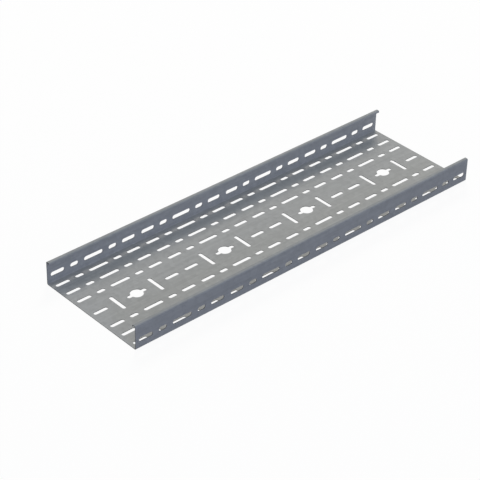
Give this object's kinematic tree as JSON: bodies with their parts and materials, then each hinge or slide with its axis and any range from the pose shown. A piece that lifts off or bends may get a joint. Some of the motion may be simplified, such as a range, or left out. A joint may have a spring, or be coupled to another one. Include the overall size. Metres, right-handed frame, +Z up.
{
  "type": "cable tray",
  "caption": "Straight perforated sheet-steel cable tray: a slotted channel floor between two slotted side walls with inward lips.",
  "frame": {"origin": "middle of the tray's underside, halfway along its length and width", "axes": "+X along the tray, +Y across it from one side wall to the other, +Z up out of the floor towards the lips"},
  "size_m": [1, 0.3, 0.06],
  "materials": {
    "galvanised_steel": "satin hot-dip galvanised sheet, dull grey with a faint spangle"
  },
  "bodies": {
    "root": {"cable_tray": "galvanised_steel"}
  },
  "joints": []
}
